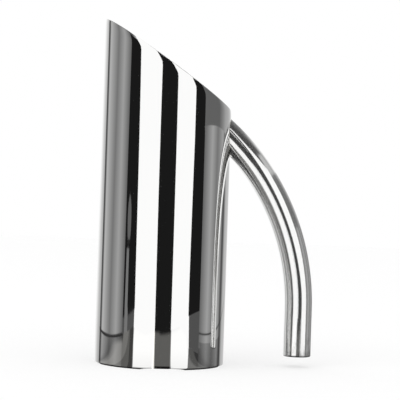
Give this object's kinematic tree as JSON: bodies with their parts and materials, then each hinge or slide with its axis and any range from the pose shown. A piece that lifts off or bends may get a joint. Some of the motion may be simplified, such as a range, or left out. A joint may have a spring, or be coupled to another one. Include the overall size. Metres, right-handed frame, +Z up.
{
  "type": "cocktail pitcher",
  "caption": "Tall straight steel cocktail pitcher with a slanted open mouth that ends in a pouring tip, and a bent tube handle that hangs free beside the body.",
  "frame": {"origin": "on the axis of the round body, at the level of the table that the pitcher stands on", "axes": "+Z up along the body's axis; the pouring tip points to -X and the handle stands off to +X; Y runs across the pitcher, which is symmetric about the plane Y = 0"},
  "size_m": [0.1507, 0.09, 0.2383],
  "materials": {
    "polished_steel": "polished",
    "satin_steel": "satin",
    "weld_steel": "matte"
  },
  "bodies": {
    "root": {"body_tube": "polished_steel", "floor_plate": "satin_steel", "floor_weld": "weld_steel", "handle_tube": "polished_steel", "handle_weld": "weld_steel", "handle_end_cap": "polished_steel"}
  },
  "joints": []
}
